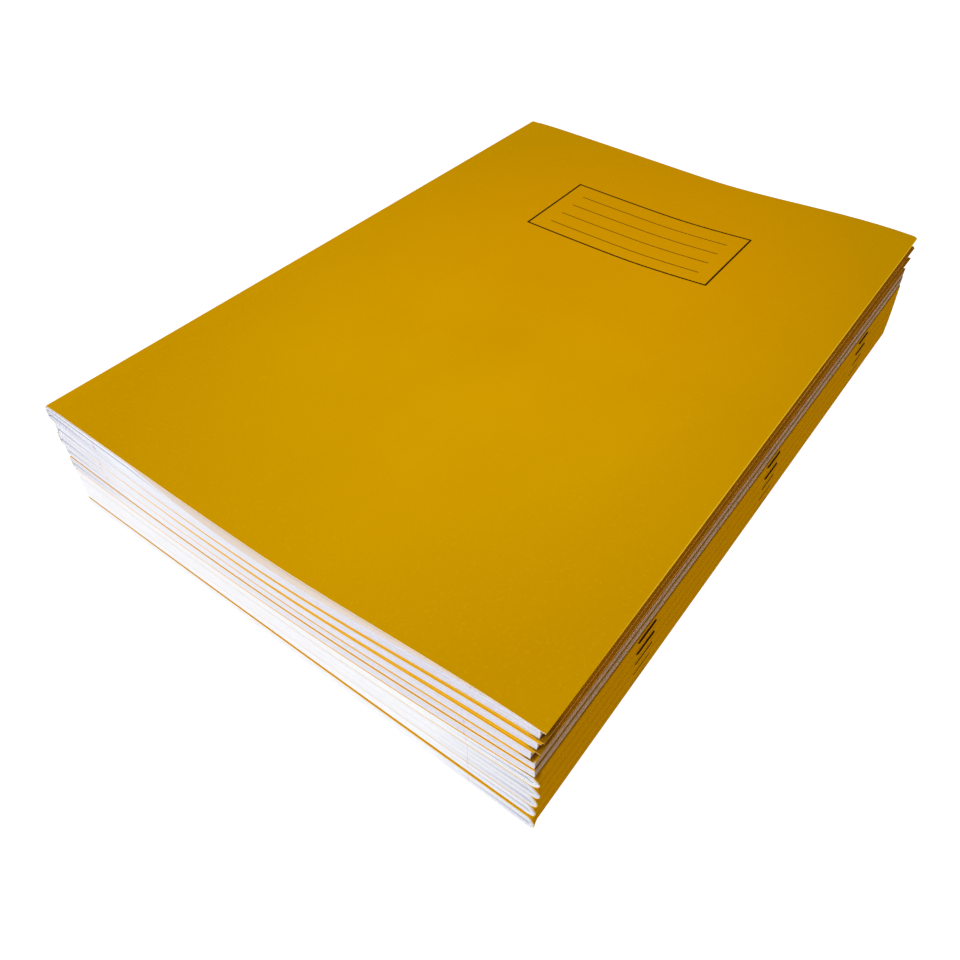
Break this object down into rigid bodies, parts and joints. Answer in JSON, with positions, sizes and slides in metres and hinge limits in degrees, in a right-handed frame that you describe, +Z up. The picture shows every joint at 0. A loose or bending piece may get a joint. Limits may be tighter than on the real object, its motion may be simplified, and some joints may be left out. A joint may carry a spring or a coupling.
{
  "type": "pile of stapled exercise books",
  "caption": "Squared-up pile of stapled exercise books with plain yellow card covers and ruled white pages; the books lift off one by one and the top one opens at its spine.",
  "frame": {"origin": "on the table under the middle of the pile", "axes": "+X across the page to the top book's fore-edge, +Y along the page to its head, +Z up"},
  "size_m": [0.2144, 0.2988, 0.0554],
  "materials": {
    "cover_card": "matt mustard-yellow printed card with pale cut edges",
    "page_paper": "uncoated white paper, ruled in pale blue with a red margin",
    "staple_wire": "thin galvanised stitching wire"
  },
  "bodies": {
    "book_01": {"book_01_cover": "cover_card", "book_01_sheets": "page_paper", "book_01_staples": "staple_wire"},
    "book_02": {"book_02_cover": "cover_card", "book_02_sheets": "page_paper", "book_02_staples": "staple_wire"},
    "book_03": {"book_03_cover": "cover_card", "book_03_sheets": "page_paper", "book_03_staples": "staple_wire"},
    "book_04": {"book_04_cover": "cover_card", "book_04_sheets": "page_paper", "book_04_staples": "staple_wire"},
    "book_05": {"book_05_cover": "cover_card", "book_05_sheets": "page_paper", "book_05_staples": "staple_wire"},
    "book_06": {"book_06_cover": "cover_card", "book_06_sheets": "page_paper", "book_06_staples": "staple_wire"},
    "book_07": {"book_07_cover": "cover_card", "book_07_sheets": "page_paper", "book_07_staples": "staple_wire"},
    "book_08": {"book_08_cover": "cover_card", "book_08_sheets": "page_paper", "book_08_staples": "staple_wire"},
    "book_09": {"book_09_cover": "cover_card", "book_09_sheets": "page_paper", "book_09_staples": "staple_wire"},
    "book_10": {"book_10_back_cover": "cover_card", "book_10_back_leaves_1": "page_paper", "book_10_back_leaves_2": "page_paper", "book_10_back_leaves_3": "page_paper", "book_10_back_leaves_4": "page_paper", "book_10_back_leaves_5": "page_paper", "book_10_staples": "staple_wire"},
    "front_cover": {"book_10_front_cover": "cover_card"},
    "front_leaves_1": {"book_10_front_leaves_1": "page_paper"},
    "front_leaves_2": {"book_10_front_leaves_2": "page_paper"},
    "front_leaves_3": {"book_10_front_leaves_3": "page_paper"},
    "front_leaves_4": {"book_10_front_leaves_4": "page_paper"},
    "front_leaves_5": {"book_10_front_leaves_5": "page_paper"}
  },
  "joints": [
    {"name": "lift_book_02", "type": "slide", "parent": "book_01", "child": "book_02", "axis": [0, 0, 1], "range_m": [0, 0.04]},
    {"name": "lift_book_03", "type": "slide", "parent": "book_02", "child": "book_03", "axis": [0, 0, 1], "range_m": [0, 0.04]},
    {"name": "lift_book_04", "type": "slide", "parent": "book_03", "child": "book_04", "axis": [0, 0, 1], "range_m": [0, 0.04]},
    {"name": "lift_book_05", "type": "slide", "parent": "book_04", "child": "book_05", "axis": [0, 0, 1], "range_m": [0, 0.04]},
    {"name": "lift_book_06", "type": "slide", "parent": "book_05", "child": "book_06", "axis": [0, 0, 1], "range_m": [0, 0.04]},
    {"name": "lift_book_07", "type": "slide", "parent": "book_06", "child": "book_07", "axis": [0, 0, 1], "range_m": [0, 0.04]},
    {"name": "lift_book_08", "type": "slide", "parent": "book_07", "child": "book_08", "axis": [0, 0, 1], "range_m": [0, 0.04]},
    {"name": "lift_book_09", "type": "slide", "parent": "book_08", "child": "book_09", "axis": [0, 0, 1], "range_m": [0, 0.04]},
    {"name": "lift_book_10", "type": "slide", "parent": "book_09", "child": "book_10", "axis": [0, 0, 1], "range_m": [0, 0.04]},
    {"name": "open_front_cover", "type": "hinge", "parent": "book_10", "child": "front_cover", "pos_m": [-0.1017, 0, 0.04989], "axis": [0, -1, 0], "range_deg": [0, 175]},
    {"name": "turn_front_leaves_1", "type": "hinge", "parent": "book_10", "child": "front_leaves_1", "pos_m": [-0.1017, 0, 0.04989], "axis": [0, -1, 0], "range_deg": [0, 169]},
    {"name": "turn_front_leaves_2", "type": "hinge", "parent": "book_10", "child": "front_leaves_2", "pos_m": [-0.1017, 0, 0.04989], "axis": [0, -1, 0], "range_deg": [0, 163]},
    {"name": "turn_front_leaves_3", "type": "hinge", "parent": "book_10", "child": "front_leaves_3", "pos_m": [-0.1017, 0, 0.04989], "axis": [0, -1, 0], "range_deg": [0, 157]},
    {"name": "turn_front_leaves_4", "type": "hinge", "parent": "book_10", "child": "front_leaves_4", "pos_m": [-0.1017, 0, 0.04989], "axis": [0, -1, 0], "range_deg": [0, 151]},
    {"name": "turn_front_leaves_5", "type": "hinge", "parent": "book_10", "child": "front_leaves_5", "pos_m": [-0.1017, 0, 0.04989], "axis": [0, -1, 0], "range_deg": [0, 145]}
  ],
  "couplings": [
    {"joint": "turn_front_leaves_1", "follows": "open_front_cover", "ratio": 0.96571},
    {"joint": "turn_front_leaves_2", "follows": "open_front_cover", "ratio": 0.93143},
    {"joint": "turn_front_leaves_3", "follows": "open_front_cover", "ratio": 0.89714},
    {"joint": "turn_front_leaves_4", "follows": "open_front_cover", "ratio": 0.86286},
    {"joint": "turn_front_leaves_5", "follows": "open_front_cover", "ratio": 0.82857}
  ]
}
